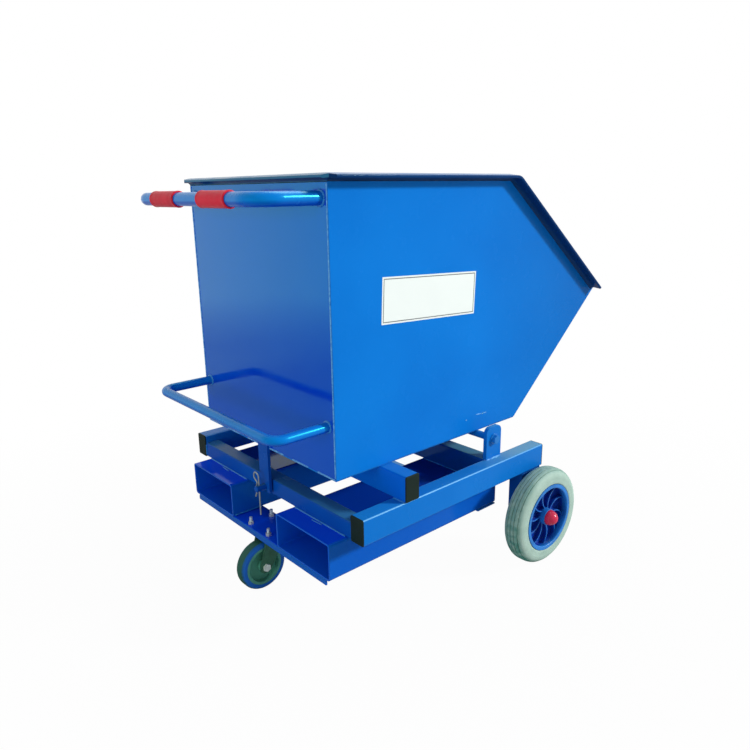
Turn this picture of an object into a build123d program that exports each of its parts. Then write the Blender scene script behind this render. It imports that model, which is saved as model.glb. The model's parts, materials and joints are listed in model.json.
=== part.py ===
"""Tipping hopper on a three-wheeled base with fork pockets, one solid per piece, in millimetres.

+X points to the pouring end, +Z is up, and the right-hand side of the object is at -Y.
The origin is on the ground, in the middle of the overall length and width.
"""
import os
from math import atan2, cos, sin, sqrt

from build123d import *

os.makedirs("parts", exist_ok=True)

# Gap between a pushed-on piece and what it sits on
push_fit_gap = 0.05

# Hopper sheets
sheet = 3.0
hopper_width = 550.0
hopper_height = 615.0
floor_length = 605.0
top_length = 554.0
nose_length = 955.0
nose_rise = 308.0
floor_inset = 1.5
chute_setback = 5.0

# Rim flanges
rim_width = 30.0
rim_thickness = 7.0
rim_lift = 6.0
rim_drop = 4.0
rear_rim_width = 15.0
rim_nose_setback = 6.0
rim_cove = 8.0
rim_tip_radius = 2.5
rim_corner_radius = 30.0

# Push handle and its grips
handle_diameter = 28.0
handle_wall = 2.0
handle_reach = 140.0
handle_span = 500.0
handle_bend = 50.0
handle_drop = 40.0
grip_diameter = 35.0
grip_length = 110.0
grip_spacing = 212.0
grip_end_radius = 3.0

# Tipping loop
loop_diameter = 22.0
loop_wall = 2.0
loop_reach = 134.0
loop_span = 500.0
loop_bend = 30.0
loop_rise = 114.0

# Blank label on the right side panel
label_length = 297.0
label_height = 100.0
label_thickness = 0.4
label_from_back = 282.0
label_rise = 358.0
label_tilt = -2.5

# Latch between hopper and base
latch_bar_width = 40.0
latch_bar_thickness = 8.0
latch_bar_lap = 24.0
latch_bar_below_stud = 13.0
latch_bar_edge_radius = 3.0
latch_slot_overcut = 1.0
stud_diameter = 16.0
stud_length = 38.0
stud_chamfer = 1.5
stud_slot_clearance = 0.5
clip_wire = 4.0
clip_hole_clearance = 0.1
clip_from_stud_end = 10.0
clip_leg_below = 70.0
clip_loop_top = 38.0
clip_loop_width = 21.0
clip_loop_side = 15.0
clip_loop_bend = 10.0
clip_waist = 6.5
clip_waist_rise = 13.0
clip_stud_gap = 1.2
clip_shoulder_rise = 3.0
clip_waist_bend = 4.0
clip_shoulder_bend = 5.0
clip_tail = 14.0
clip_tail_bend = 8.0

# Base frame
pocket_width = 200.0
pocket_height = 88.0
pocket_wall = 4.0
pocket_corner = 8.0
pocket_length = 550.0
pocket_gap = 200.0
pocket_overhang = 45.0
beam_width = 40.0
beam_height = 60.0
beam_wall = 3.0
beam_corner = 4.0
beam_length = 620.0
beam_setback = 4.0
beam_pocket_gap = 16.0
crossbeam_depth = 40.0
rear_crossbeam_height = 40.0
front_crossbeam_setback = 432.0
rest_tube_setback = 122.0
rest_tube_depth = 40.0
rest_tube_height = 60.0
channel_sheet = 4.0
channel_depth = 90.0
channel_height = 14.0
channel_inset = 15.0
channel_bend = 6.0
tie_bar_depth = 68.0
tie_bar_thickness = 3.0
cap_thickness = 3.0
cap_plug_depth = 14.0
cap_plug_clearance = 0.2
cap_edge_radius = 1.2

# Tipping pivot
pivot_tube_diameter = 18.0
pivot_from_back = 458.0
pivot_end_gap = 0.5
pivot_bolt_diameter = 12.0
pivot_running_gap = 0.05
pivot_bolt_reach = 32.0
pivot_head_width = 19.0
pivot_head_height = 8.0
pivot_washer_diameter = 28.0
washer_thickness = 2.5
bolt_hole_clearance = 0.25
bracket_depth = 56.0
bracket_thickness = 10.0
bracket_above_pivot = 33.0
bracket_corner = 16.0

# Front wheels and their axles
wheel_diameter = 256.0
tyre_width = 57.0
tyre_shoulder = 22.0
tyre_bead_radius = 5.0
tyre_bore_radius = 89.0
groove_count = 4
groove_pitch = 9.5
groove_width = 1.8
groove_depth = 1.6
groove_offset = 4.0
rim_ring_wall = 7.0
rim_lip_width = 10.0
rim_lip_depth = 6.0
rim_lip_slope = 9.0
rim_lip_radius = 2.5
wheel_web = 4.0
hub_radius = 22.0
hub_width = 52.0
spoke_count = 10
spoke_width = 3.0
spoke_depth = 14.0
spoke_bow = 14.0
spoke_root = 2.0
axle_diameter = 20.0
axle_running_gap = 0.05
axle_head_diameter = 30.0
axle_head_thickness = 6.0
bush_wall = 3.0
wheel_side_gap = 0.5
spacer_length = 7.0
spacer_wall = 5.0
leg_depth = 80.0
leg_behind_axle = 44.0
axle_from_back = 584.0
leg_below_axle = 30.0
hub_cap_diameter = 40.0
hub_cap_depth = 24.0
hub_cap_cup = 10.0
quarter_turn = 90.0

# Swivel caster
caster_height = 151.0
caster_wheel_diameter = 125.0
caster_wheel_width = 33.0
caster_tyre_thickness = 14.0
caster_tyre_shoulder = 9.0
caster_core_web = 8.0
caster_core_ring = 7.0
caster_hub_radius = 14.0
caster_hub_width = 40.0
caster_trail = 33.0
caster_plate_length = 105.0
caster_plate_width = 80.0
caster_plate_thickness = 4.0
caster_plate_corner = 8.0
caster_hole_spacing_y = 80.0
caster_hole_spacing_x = 60.0
caster_bolt_diameter = 8.0
caster_head_width = 13.0
caster_head_height = 5.5
caster_nut_height = 6.5
caster_bolt_tail = 12.0
race_radius = 25.0
race_height = 6.0
race_chamfer = 1.5
swivel_gap = 0.3
crown_thickness = 6.0
fork_sheet = 4.0
fork_side_gap = 0.6
fork_front = 26.0
fork_rear = 26.0
fork_shoulder = 18.0
fork_toe = 15.0
kingpin_diameter = 12.0
kingpin_running_gap = 0.05
kingpin_head_diameter = 22.0
kingpin_head_height = 4.0
caster_axle_diameter = 10.0
caster_axle_head_width = 17.0
caster_axle_tail = 5.0
caster_bush_wall = 3.0

# Heights worked out from the ground up
pocket_z = caster_height + channel_sheet
beam_z = pocket_z + pocket_height
rest_z = beam_z + beam_height
floor_z = rest_z + rest_tube_height
panel_z = floor_z + sheet
top_z = panel_z + hopper_height
nose_z = panel_z + nose_rise
axle_z = wheel_diameter / 2
pivot_z = floor_z - pivot_tube_diameter / 2
handle_z = top_z - handle_drop
loop_z = panel_z + loop_rise
stud_z = beam_z + rear_crossbeam_height / 2

# Positions along X, from the outer face of the rear panel
back_x = -(nose_length - handle_reach - grip_diameter / 2) / 2
nose_x = back_x + nose_length
mouth_x = back_x + top_length
chute_x = back_x + floor_length
pocket_x = back_x - pocket_overhang
pocket_end_x = pocket_x + pocket_length
beam_x = back_x + beam_setback
beam_end_x = beam_x + beam_length
rest_x = back_x + rest_tube_setback
front_crossbeam_x = back_x + front_crossbeam_setback
pivot_x = back_x + pivot_from_back
axle_x = back_x + axle_from_back
caster_x = pocket_x + channel_depth / 2
caster_axle_x = caster_x - caster_trail
caster_axle_z = caster_wheel_diameter / 2

# Positions across Y, from the middle plane
half_width = hopper_width / 2
panel_inner = half_width - sheet
pocket_inner = pocket_gap / 2
pocket_outer = pocket_inner + pocket_width
beam_inner = pocket_outer + beam_pocket_gap
beam_outer = beam_inner + beam_width
hub_inner = beam_outer + spacer_length + wheel_side_gap
wheel_mid = hub_inner + hub_width / 2
hub_outer = hub_inner + hub_width

chute_angle = atan2(nose_rise, nose_length - floor_length)


def save(piece, name):
    """Labels a finished piece and writes its STEP file."""
    piece.label = name
    export_step(piece, f"parts/{name}.step")


def save_pair(piece, name):
    """Writes a piece of the right-hand side and its mirror image on the left."""
    save(piece, f"{name}_right")
    with BuildPart() as twin:
        mirror(piece, about=Plane.XZ)
    save(twin.part, f"{name}_left")


def box_between(low, high):
    """A block between two opposite corners, for a sheet, plate or bar."""
    size = [b - a for a, b in zip(low, high)]
    middle = [(a + b) / 2 for a, b in zip(low, high)]
    with BuildPart(Plane(origin=middle)) as block:
        Box(*size)
    return block.part


def rectangular_tube(plane, width, height, wall, corner, length):
    """A rectangular tube standing on a plane, with rounded long edges."""
    with BuildPart() as tube:
        with BuildSketch(plane):
            RectangleRounded(width, height, corner)
            RectangleRounded(width - 2 * wall, height - 2 * wall, corner / 2, mode=Mode.SUBTRACT)
        extrude(amount=length)
    return tube.part


def end_cap(plane, width, height, wall, corner):
    """A plastic plug for a rectangular tube: a flange outside and a plug inside."""
    with BuildPart() as cap:
        with BuildSketch(plane):
            RectangleRounded(width, height, corner)
        extrude(amount=cap_thickness)
        fillet(cap.faces().sort_by(Axis(plane.origin, plane.z_dir))[-1].edges(), cap_edge_radius)
        with BuildSketch(plane):
            inset = 2 * (wall + cap_plug_clearance)
            RectangleRounded(width - inset, height - inset, corner / 2)
        extrude(amount=-cap_plug_depth)
    return cap.part


def bent_tube(reach, span, bend, z, diameter, wall):
    """A U of round tube standing out from the rear panel, in a level plane."""
    start = (back_x, -span / 2, z)
    with BuildPart() as tube:
        with BuildLine() as route:
            FilletPolyline(
                start,
                (back_x - reach, -span / 2, z),
                (back_x - reach, span / 2, z),
                (back_x, span / 2, z),
                radius=bend,
            )
        with BuildSketch(Plane(origin=start, z_dir=(-1, 0, 0))):
            Circle(diameter / 2)
            Circle(diameter / 2 - wall, mode=Mode.SUBTRACT)
        sweep(path=route.wire())
    return tube.part


def rim_section(width):
    """The rim's profile, capping the panel's edge and sloping down: outward along X, downward along Y."""
    under = rim_thickness - rim_lift
    cove_y = under + rim_drop * rim_cove / width
    with BuildSketch(mode=Mode.PRIVATE) as section:
        with BuildLine():
            Polyline(
                (0, 0),
                (-sheet, 0),
                (-sheet, -rim_lift),
                (0, -rim_lift),
                (width, rim_drop - rim_lift),
                (width, rim_drop + under),
                (rim_cove, cove_y),
            )
            RadiusArc((rim_cove, cove_y), (0, cove_y + rim_cove), rim_cove)
            Line((0, cove_y + rim_cove), (0, 0))
        make_face()
        fillet(section.vertices().group_by(Axis.X)[-1], rim_tip_radius)
    return section.sketch


def ring_along_y(x, z, inner, outer, y_start, y_end):
    """A plain ring about an axis along Y."""
    with BuildPart() as ring:
        with BuildSketch(Plane(origin=(x, y_start, z), z_dir=(0, y_end - y_start, 0))):
            Circle(outer)
            Circle(inner, mode=Mode.SUBTRACT)
        extrude(amount=abs(y_end - y_start))
    return ring.part


def hex_bolt(plane, head_width, head_height, diameter, shank):
    """A hexagon bolt: its head stands on the plane and its shank runs the other way."""
    with BuildPart() as bolt:
        with BuildSketch(plane):
            RegularPolygon(head_width / 2, 6, major_radius=False)
        extrude(amount=head_height)
        with BuildSketch(plane):
            Circle(diameter / 2)
        extrude(amount=-shank)
    return bolt.part


def group(pieces):
    """Several separate solids of one kind, kept in one node."""
    with BuildPart() as several:
        add(pieces)
    return several.part


# Hopper panels
with BuildPart() as side_panel:
    with BuildSketch(Plane.XZ.offset(panel_inner)) as side_outline:
        with BuildLine():
            Polyline(
                (back_x, panel_z),
                (chute_x, panel_z),
                (nose_x, nose_z),
                (mouth_x, top_z),
                (back_x, top_z),
                close=True,
            )
        make_face()
        mouth_corner = side_outline.vertices().sort_by_distance((mouth_x, top_z))[0]
        fillet(mouth_corner, rim_corner_radius)
    extrude(amount=sheet)
save_pair(side_panel.part, "side_panel")

save(
    box_between((back_x, -panel_inner, panel_z), (back_x + sheet, panel_inner, top_z)),
    "rear_panel",
)
floor_half = half_width - floor_inset
save(
    box_between((back_x, -floor_half, floor_z), (chute_x, floor_half, panel_z)),
    "floor_panel",
)

chute_run = (nose_rise / sin(chute_angle)) - chute_setback
chute_top = (chute_x + chute_run * cos(chute_angle), panel_z + chute_run * sin(chute_angle))
with BuildPart() as chute_panel:
    with BuildSketch(Plane.XZ):
        with BuildLine():
            Polyline(
                (chute_x, panel_z),
                chute_top,
                (chute_top[0] - sheet * sin(chute_angle), chute_top[1] + sheet * cos(chute_angle)),
                (chute_x - sheet / sin(chute_angle), panel_z),
                close=True,
            )
        make_face()
    extrude(amount=panel_inner, both=True)
save(chute_panel.part, "chute_panel")

# Rim flanges along the rear, the side tops and the slanted mouth edges
mouth_angle = atan2(top_z - nose_z, nose_x - mouth_x)
rim_end = (nose_x - rim_nose_setback * cos(mouth_angle), nose_z + rim_nose_setback * sin(mouth_angle))
rim_back = back_x - rear_rim_width
rim_out = half_width + rim_width
mitre = (-rear_rim_width / 2, (half_width + rim_out) / 2)
corner_plane = Plane(origin=(back_x, 0, panel_z))
corner_cut = hopper_height + 2 * rim_lift
with BuildPart() as side_rim:
    with BuildLine(Plane.XZ.offset(half_width)) as rim_route:
        FilletPolyline((rim_back, top_z), (mouth_x, top_z), rim_end, radius=rim_corner_radius)
    rim_start = Plane(origin=(rim_back, -half_width, top_z), x_dir=(0, -1, 0), z_dir=(1, 0, 0))
    with BuildSketch(rim_start):
        add(rim_section(rim_width))
    sweep(path=rim_route.wire())
    with BuildSketch(corner_plane):
        with BuildLine():
            Polyline(
                (0, 0),
                (0, -half_width),
                (mitre[0], -mitre[1]),
                (0, -rim_out),
                (0, -2 * rim_out),
                (-2 * rear_rim_width, -2 * rim_out),
                (-2 * rear_rim_width, 0),
                close=True,
            )
        make_face()
    extrude(amount=corner_cut, mode=Mode.SUBTRACT)
save_pair(side_rim.part, "side_rim")

with BuildPart() as rear_rim:
    with BuildSketch(Plane(origin=(back_x, 0, top_z), x_dir=(-1, 0, 0), z_dir=(0, -1, 0))):
        add(rim_section(rear_rim_width))
    extrude(amount=rim_out, both=True)
    with BuildSketch(corner_plane):
        for side in (-1, 1):
            with BuildLine():
                Polyline(
                    (0, side * panel_inner),
                    (0, side * half_width),
                    (mitre[0], side * mitre[1]),
                    (-rear_rim_width, side * half_width),
                    (-2 * rear_rim_width, side * half_width),
                    (-2 * rear_rim_width, 2 * side * rim_out),
                    (rear_rim_width, 2 * side * rim_out),
                    (rear_rim_width, side * panel_inner),
                    close=True,
                )
            make_face()
    extrude(amount=corner_cut, mode=Mode.SUBTRACT)
save(rear_rim.part, "rear_rim")

# Push handle, grips and tipping loop
save(
    bent_tube(handle_reach, handle_span, handle_bend, handle_z, handle_diameter, handle_wall),
    "push_handle",
)
with BuildPart() as grip:
    grip_plane = Plane(
        origin=(back_x - handle_reach, -(grip_spacing - grip_length) / 2, handle_z), z_dir=(0, -1, 0)
    )
    with BuildSketch(grip_plane):
        Circle(grip_diameter / 2)
    extrude(amount=grip_length)
    fillet(grip.edges().filter_by(GeomType.CIRCLE), grip_end_radius)
    with BuildSketch(grip_plane):
        Circle(handle_diameter / 2 + push_fit_gap)
    extrude(amount=grip_length, mode=Mode.SUBTRACT)
save_pair(grip.part, "grip")
save(
    bent_tube(loop_reach, loop_span, loop_bend, loop_z, loop_diameter, loop_wall),
    "tipping_loop",
)

with BuildPart() as blank_label:
    label_middle = (back_x + label_from_back, -half_width, panel_z + label_rise)
    with BuildSketch(Plane(origin=label_middle, x_dir=(1, 0, 0), z_dir=(0, -1, 0))):
        Rectangle(label_length, label_height, rotation=label_tilt)
    extrude(amount=label_thickness)
save(blank_label.part, "blank_label")

# Latch bar on the hopper, stud on the base and the clip through the stud
latch_bottom = stud_z - latch_bar_below_stud
latch_top = panel_z + latch_bar_lap
slot_radius = stud_diameter / 2 + stud_slot_clearance
with BuildPart() as latch_bar:
    with BuildSketch(Plane(origin=(back_x, 0, 0), x_dir=(0, -1, 0), z_dir=(-1, 0, 0))) as latch_outline:
        with BuildLine():
            Polyline(
                (-latch_bar_width / 2, latch_bottom),
                (latch_bar_width / 2, latch_bottom),
                (latch_bar_width / 2, latch_top),
                (-latch_bar_width / 2, latch_top),
                close=True,
            )
        make_face()
        fillet(latch_outline.vertices(), latch_bar_edge_radius)
        with Locations((0, stud_z)):
            Circle(slot_radius, mode=Mode.SUBTRACT)
        with Locations((0, stud_z)):
            Rectangle(
                2 * slot_radius,
                latch_bar_below_stud + latch_slot_overcut,
                align=(Align.CENTER, Align.MAX),
                mode=Mode.SUBTRACT,
            )
    extrude(amount=latch_bar_thickness)
save(latch_bar.part, "latch_bar")

clip_x = beam_x - stud_length + clip_from_stud_end
with BuildPart() as latch_stud:
    with BuildSketch(Plane(origin=(beam_x, 0, stud_z), z_dir=(-1, 0, 0))):
        Circle(stud_diameter / 2)
    extrude(amount=stud_length)
    chamfer(latch_stud.edges().group_by(Axis.X)[0], stud_chamfer)
    with BuildSketch(Plane(origin=(clip_x, 0, stud_z - stud_diameter))):
        Circle(clip_wire / 2 + clip_hole_clearance)
    extrude(amount=2 * stud_diameter, mode=Mode.SUBTRACT)
save(latch_stud.part, "latch_stud")

clip_side = stud_diameter / 2 + clip_wire / 2 + clip_stud_gap
clip_bends = [
    clip_loop_bend,
    clip_loop_bend,
    clip_shoulder_bend,
    clip_waist_bend,
    clip_shoulder_bend,
    clip_tail_bend,
]
clip_plane = Plane(origin=(clip_x, 0, stud_z), x_dir=(0, 1, 0), z_dir=(1, 0, 0))
with BuildPart() as r_clip:
    with BuildLine(clip_plane) as clip_route:
        FilletPolyline(
            (0, -clip_leg_below),
            (0, clip_loop_top),
            (clip_loop_width, clip_loop_top),
            (clip_loop_width, clip_loop_top - clip_loop_side),
            (clip_waist, clip_waist_rise),
            (clip_side, clip_shoulder_rise),
            (clip_side, -clip_waist_rise),
            (clip_side + clip_waist, -clip_waist_rise - clip_tail),
            radius=clip_bends,
        )
    with BuildSketch(Plane(origin=(clip_x, 0, stud_z - clip_leg_below), z_dir=(0, 0, 1))):
        Circle(clip_wire / 2)
    sweep(path=clip_route.wire())
save(r_clip.part, "r_clip")

# Fork pockets, base plate and tie bar
pocket_middle_y = -(pocket_inner + pocket_outer) / 2
pocket_plane = Plane(
    origin=(pocket_x, pocket_middle_y, pocket_z + pocket_height / 2), x_dir=(0, 1, 0), z_dir=(1, 0, 0)
)
save_pair(
    rectangular_tube(pocket_plane, pocket_width, pocket_height, pocket_wall, pocket_corner, pocket_length),
    "fork_pocket",
)

channel_half = pocket_outer - channel_inset
with BuildPart() as caster_channel:
    with BuildSketch(Plane.XZ) as channel_outline:
        with Locations((caster_x, pocket_z)):
            Rectangle(channel_depth, channel_height, align=(Align.CENTER, Align.MAX))
        fillet(channel_outline.vertices().group_by(Axis.Y)[-1].sort_by(Axis.X)[0], channel_bend)
        with Locations((caster_x + channel_sheet, caster_height)):
            Rectangle(channel_depth, channel_height, align=(Align.CENTER, Align.MAX), mode=Mode.SUBTRACT)
    extrude(amount=channel_half, both=True)
    with BuildSketch(Plane(origin=(caster_x, 0, caster_height))):
        with GridLocations(caster_hole_spacing_x, caster_hole_spacing_y, 2, 2):
            Circle(caster_bolt_diameter / 2 + bolt_hole_clearance)
    extrude(amount=channel_sheet, mode=Mode.SUBTRACT)
save(caster_channel.part, "caster_channel")

save(
    box_between(
        (pocket_end_x - tie_bar_depth, -pocket_outer, pocket_z - tie_bar_thickness),
        (pocket_end_x, pocket_outer, pocket_z),
    ),
    "front_tie_bar",
)

# Beams and cross members of the base frame
beam_middle_y = -(beam_inner + beam_outer) / 2
beam_plane = Plane(
    origin=(beam_x, beam_middle_y, beam_z + beam_height / 2), x_dir=(0, 1, 0), z_dir=(1, 0, 0)
)
save_pair(
    rectangular_tube(beam_plane, beam_width, beam_height, beam_wall, beam_corner, beam_length),
    "side_beam",
)


def cross_member(x, z, depth, height, half_length):
    """A rectangular tube across the frame."""
    plane = Plane(origin=(x + depth / 2, half_length, z + height / 2), x_dir=(1, 0, 0), z_dir=(0, -1, 0))
    return rectangular_tube(plane, depth, height, beam_wall, beam_corner, 2 * half_length)


save(cross_member(beam_x, beam_z, crossbeam_depth, rear_crossbeam_height, beam_inner), "rear_crossbeam")
save(cross_member(front_crossbeam_x, beam_z, crossbeam_depth, beam_height, beam_inner), "front_crossbeam")
save(cross_member(rest_x, rest_z, rest_tube_depth, rest_tube_height, beam_outer), "rest_crosstube")

beam_caps = []
for side in (-1, 1):
    for end_x, direction in ((beam_x, -1), (beam_end_x, 1)):
        cap_plane = Plane(
            origin=(end_x, side * -beam_middle_y, beam_z + beam_height / 2),
            x_dir=(0, 1, 0),
            z_dir=(direction, 0, 0),
        )
        beam_caps.append(end_cap(cap_plane, beam_width, beam_height, beam_wall, beam_corner))
save(group(beam_caps), "beam_end_caps")

rest_caps = []
for side in (-1, 1):
    cap_plane = Plane(
        origin=(rest_x + rest_tube_depth / 2, side * beam_outer, rest_z + rest_tube_height / 2),
        x_dir=(1, 0, 0),
        z_dir=(0, side, 0),
    )
    rest_caps.append(end_cap(cap_plane, rest_tube_depth, rest_tube_height, beam_wall, beam_corner))
save(group(rest_caps), "crosstube_end_caps")

# Tipping pivot: a tube under the hopper's floor, held by a bolt in a bracket at each end
save(
    ring_along_y(
        pivot_x,
        pivot_z,
        pivot_bolt_diameter / 2 + pivot_running_gap,
        pivot_tube_diameter / 2,
        -beam_inner + pivot_end_gap,
        beam_inner - pivot_end_gap,
    ),
    "pivot_tube",
)

bracket_face = beam_inner + bracket_thickness
bracket_top = pivot_z + bracket_above_pivot
with BuildPart() as pivot_bracket:
    with BuildSketch(Plane.XZ.offset(beam_inner)) as bracket_outline:
        with BuildLine():
            Polyline(
                (pivot_x - bracket_depth / 2, rest_z),
                (pivot_x + bracket_depth / 2, rest_z),
                (pivot_x + bracket_depth / 2, bracket_top),
                (pivot_x - bracket_depth / 2, bracket_top),
                close=True,
            )
        make_face()
        fillet(bracket_outline.vertices().group_by(Axis.Y)[-1], bracket_corner)
        with Locations((pivot_x, pivot_z)):
            Circle(pivot_bolt_diameter / 2 + bolt_hole_clearance, mode=Mode.SUBTRACT)
    extrude(amount=bracket_thickness)
save_pair(pivot_bracket.part, "pivot_bracket")

pivot_bolts = []
pivot_washers = []
for side in (-1, 1):
    washer_face = bracket_face + washer_thickness
    bolt_plane = Plane(origin=(pivot_x, side * washer_face, pivot_z), z_dir=(0, side, 0))
    shank = washer_thickness + bracket_thickness + pivot_bolt_reach
    pivot_bolts.append(
        hex_bolt(bolt_plane, pivot_head_width, pivot_head_height, pivot_bolt_diameter, shank)
    )
    pivot_washers.append(
        ring_along_y(
            pivot_x,
            pivot_z,
            pivot_bolt_diameter / 2 + bolt_hole_clearance,
            pivot_washer_diameter / 2,
            side * bracket_face,
            side * washer_face,
        )
    )
save(group(pivot_bolts), "pivot_bolts")
save(group(pivot_washers), "pivot_washers")

# Axle legs, stub axles, spacers and hub caps
leg_bottom = axle_z - leg_below_axle
leg_mid_x = axle_x - leg_behind_axle + leg_depth / 2
with BuildPart() as axle_leg:
    with BuildSketch(Plane(origin=(leg_mid_x, beam_middle_y, leg_bottom))):
        RectangleRounded(leg_depth, beam_width, beam_corner)
        RectangleRounded(
            leg_depth - 2 * beam_wall, beam_width - 2 * beam_wall, beam_corner / 2, mode=Mode.SUBTRACT
        )
    extrude(amount=beam_z - leg_bottom)
    with BuildSketch(Plane(origin=(axle_x, -beam_inner, axle_z), z_dir=(0, -1, 0))):
        Circle(axle_diameter / 2 + axle_running_gap)
    extrude(amount=beam_width, mode=Mode.SUBTRACT)
save_pair(axle_leg.part, "axle_leg")

cap_face = hub_outer + wheel_side_gap
axle_end = cap_face + hub_cap_cup
with BuildPart() as stub_axle:
    with BuildSketch(Plane(origin=(axle_x, -beam_inner, axle_z), z_dir=(0, -1, 0))):
        Circle(axle_diameter / 2)
    extrude(amount=axle_end - beam_inner)
    with BuildSketch(Plane(origin=(axle_x, -beam_inner, axle_z), z_dir=(0, -1, 0))):
        Circle(axle_head_diameter / 2)
    extrude(amount=-axle_head_thickness)
save_pair(stub_axle.part, "stub_axle")

axle_spacers = []
for side in (-1, 1):
    axle_spacers.append(
        ring_along_y(
            axle_x,
            axle_z,
            axle_diameter / 2 + axle_running_gap,
            axle_diameter / 2 + spacer_wall,
            side * beam_outer,
            side * (beam_outer + spacer_length),
        )
    )
save(group(axle_spacers), "axle_spacers")

wheel_axis = Axis((axle_x, 0, axle_z), (0, -1, 0))
cap_radius = hub_cap_diameter / 2
with BuildPart() as hub_cap:
    with BuildSketch(Plane(origin=(axle_x, -cap_face, axle_z), x_dir=(0, -1, 0), z_dir=(-1, 0, 0))):
        with BuildLine():
            Line((0, 0), (hub_cap_depth, 0))
            EllipticalCenterArc((0, 0), hub_cap_depth, cap_radius, start_angle=0, arc_size=quarter_turn)
            Line((0, cap_radius), (0, 0))
        make_face()
    revolve(axis=wheel_axis)
    with BuildSketch(Plane(origin=(axle_x, -cap_face, axle_z), z_dir=(0, -1, 0))):
        Circle(axle_diameter / 2 + push_fit_gap)
    extrude(amount=hub_cap_cup, mode=Mode.SUBTRACT)
with BuildPart() as hub_cap_twin:
    mirror(hub_cap.part, about=Plane.XZ)
save(group([hub_cap.part, hub_cap_twin.part]), "hub_caps")

# Front wheels: tyre, spoked centre and bush
wheel_plane = Plane(origin=(axle_x, -wheel_mid, axle_z), x_dir=(0, -1, 0), z_dir=(-1, 0, 0))
tread_half = tyre_width / 2 - tyre_shoulder
with BuildPart() as tyre:
    with BuildSketch(wheel_plane) as tyre_section:
        with Locations((0, (tyre_bore_radius + push_fit_gap + wheel_diameter / 2) / 2)):
            Rectangle(tyre_width, wheel_diameter / 2 - tyre_bore_radius - push_fit_gap)
        fillet(tyre_section.vertices().group_by(Axis.Y)[-1], tyre_shoulder)
        fillet(tyre_section.vertices().group_by(Axis.Y)[0], tyre_bead_radius)
        for number in range(groove_count):
            groove_y = groove_offset + (number - (groove_count - 1) / 2) * groove_pitch
            into_shoulder = max(0.0, abs(groove_y) - tread_half)
            shoulder_drop = tyre_shoulder - sqrt(tyre_shoulder**2 - into_shoulder**2)
            with Locations((groove_y, wheel_diameter / 2 - shoulder_drop)):
                Rectangle(groove_width, 2 * groove_depth, mode=Mode.SUBTRACT)
    revolve(axis=wheel_axis)
save_pair(tyre.part, "tyre")

ring_inner = tyre_bore_radius - rim_ring_wall
ring_half = tyre_width / 2
lip_inner = tyre_bore_radius - rim_lip_width
lip_face = ring_half - rim_lip_depth
lip_foot = lip_face - rim_lip_slope
with BuildSketch(mode=Mode.PRIVATE) as spoke:
    with BuildLine():
        spoke_start = hub_radius - spoke_root
        spoke_end = ring_inner + spoke_root
        low_side = SagittaArc((spoke_start, -spoke_width / 2), (spoke_end, -spoke_width / 2), spoke_bow)
        high_side = SagittaArc((spoke_start, spoke_width / 2), (spoke_end, spoke_width / 2), spoke_bow)
        Line(low_side @ 0, high_side @ 0)
        Line(low_side @ 1, high_side @ 1)
    make_face()
with BuildPart() as wheel_centre:
    with BuildSketch(wheel_plane) as rim_profile:
        with BuildLine():
            Polyline(
                (-ring_half, tyre_bore_radius),
                (-ring_half, lip_inner),
                (-lip_face, lip_inner),
                (-lip_foot, ring_inner),
                (lip_foot, ring_inner),
                (lip_face, lip_inner),
                (ring_half, lip_inner),
                (ring_half, tyre_bore_radius),
                close=True,
            )
        make_face()
        fillet(rim_profile.vertices().group_by(Axis.Y)[0], rim_lip_radius)
    revolve(axis=wheel_axis)
    with BuildSketch(wheel_plane):
        with BuildLine():
            Polyline(
                (-wheel_web / 2, hub_radius / 2),
                (wheel_web / 2, hub_radius / 2),
                (wheel_web / 2, ring_inner + spoke_root),
                (-wheel_web / 2, ring_inner + spoke_root),
                close=True,
            )
        make_face()
    revolve(axis=wheel_axis)
    with BuildSketch(Plane(origin=(axle_x, -hub_inner, axle_z), z_dir=(0, -1, 0))):
        Circle(hub_radius)
    extrude(amount=hub_width)
    with BuildSketch(Plane(origin=(axle_x, -wheel_mid, axle_z), z_dir=(0, -1, 0))):
        with PolarLocations(0, spoke_count):
            add(spoke.sketch)
    extrude(amount=spoke_depth, both=True)
    with BuildSketch(Plane(origin=(axle_x, -hub_inner, axle_z), z_dir=(0, -1, 0))):
        Circle(axle_diameter / 2 + bush_wall)
    extrude(amount=hub_width, mode=Mode.SUBTRACT)
save_pair(wheel_centre.part, "wheel_centre")

save_pair(
    ring_along_y(
        axle_x,
        axle_z,
        axle_diameter / 2 + axle_running_gap,
        axle_diameter / 2 + bush_wall,
        -hub_inner,
        -hub_outer,
    ),
    "wheel_bush",
)

# Swivel caster: fixed plate, race, kingpin and fasteners
caster_plate_z = caster_height - caster_plate_thickness
crown_top = caster_plate_z - race_height - swivel_gap
crown_bottom = crown_top - crown_thickness
with BuildPart() as caster_plate:
    with BuildSketch(Plane(origin=(caster_x, 0, caster_plate_z))):
        RectangleRounded(caster_plate_width, caster_plate_length, caster_plate_corner)
        with GridLocations(caster_hole_spacing_x, caster_hole_spacing_y, 2, 2):
            Circle(caster_bolt_diameter / 2 + bolt_hole_clearance, mode=Mode.SUBTRACT)
        Circle(kingpin_diameter / 2 + kingpin_running_gap, mode=Mode.SUBTRACT)
    extrude(amount=caster_plate_thickness)
save(caster_plate.part, "caster_top_plate")

with BuildPart() as swivel_race:
    with BuildSketch(Plane(origin=(caster_x, 0, caster_plate_z - race_height))):
        Circle(race_radius)
        Circle(kingpin_diameter / 2 + kingpin_running_gap, mode=Mode.SUBTRACT)
    extrude(amount=race_height)
    race_edges = swivel_race.edges().filter_by(GeomType.CIRCLE).group_by(Axis.Z)[0]
    chamfer(race_edges.sort_by(SortBy.RADIUS)[-1], race_chamfer)
save(swivel_race.part, "swivel_race")

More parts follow.
